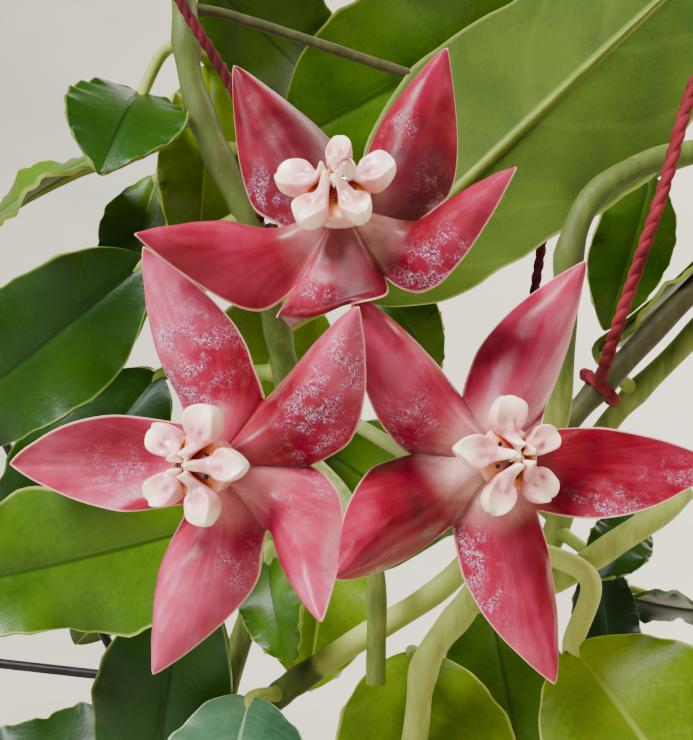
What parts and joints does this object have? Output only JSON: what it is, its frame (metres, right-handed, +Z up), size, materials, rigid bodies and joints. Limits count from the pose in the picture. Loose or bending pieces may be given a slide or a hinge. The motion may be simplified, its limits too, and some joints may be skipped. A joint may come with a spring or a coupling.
{
  "type": "potted hoya plant",
  "caption": "Climbing hoya in a plain flared pot: thick waved leaves on vines tied to a wire fan trellis, with an umbel of large waxy red star flowers with cream coronas.",
  "frame": {"origin": "centre of the pot's flat underside", "axes": "+Z up, -Y towards the viewer and the flowers, +X to the viewer's right"},
  "size_m": [0.3228, 0.2488, 0.4941],
  "materials": {
    "pot": "plain unglazed terracotta, matte",
    "potting_mix": "coarse bark and peat mix, matte",
    "stem": "grey-green vine, fine pale specks, slightly waxy",
    "leaf": "thick waxy green blade with a paler raised midrib and pale rim",
    "glaucous_leaf": "blue-grey bloom on a waxy blade",
    "petal": "glossy waxy rose red with a thin pale margin",
    "corona": "glossy waxy cream with pink blush and red-orange hollows",
    "wire": "black coated wire",
    "twine": "dark red twisted two-strand twine"
  },
  "bodies": {
    "root": {"pot": "pot", "potting_mix": "potting_mix", "vine_left": "stem", "vine_centre": "stem", "vine_right": "stem", "vine_back": "stem", "corolla_top": "petal", "corona_top": "corona", "corolla_left": "petal", "corona_left": "corona", "corolla_right": "petal", "corona_right": "corona", "umbel_stalk": "stem", "leaf_01": "leaf", "leaf_02": "leaf", "leaf_03": "leaf", "leaf_04": "leaf", "leaf_05": "leaf", "leaf_06": "leaf", "leaf_07": "leaf", "leaf_08": "leaf", "leaf_09": "leaf", "leaf_10": "leaf", "leaf_11": "leaf", "leaf_12": "leaf", "leaf_13": "glaucous_leaf", "leaf_14": "leaf", "leaf_15": "leaf", "leaf_16": "leaf", "leaf_17": "leaf", "leaf_18": "leaf", "leaf_19": "leaf", "leaf_20": "leaf", "leaf_21": "leaf", "leaf_22": "leaf", "leaf_23": "leaf", "leaf_24": "leaf", "leaf_25": "leaf", "leaf_26": "leaf", "leaf_27": "leaf", "leaf_28": "leaf", "leaf_29": "leaf", "leaf_30": "leaf", "leaf_31": "leaf", "leaf_32": "leaf", "leaf_33": "leaf", "leaf_34": "leaf", "leaf_35": "leaf", "leaf_36": "leaf", "leaf_37": "leaf", "leaf_38": "leaf", "trellis_leg_outer_left": "wire", "trellis_leg_inner_left": "wire", "trellis_leg_inner_right": "wire", "trellis_leg_outer_right": "wire", "trellis_rung_left": "wire", "trellis_rung_top": "wire", "twine_left": "twine", "twine_middle": "twine", "twine_right": "twine"}
  },
  "joints": []
}
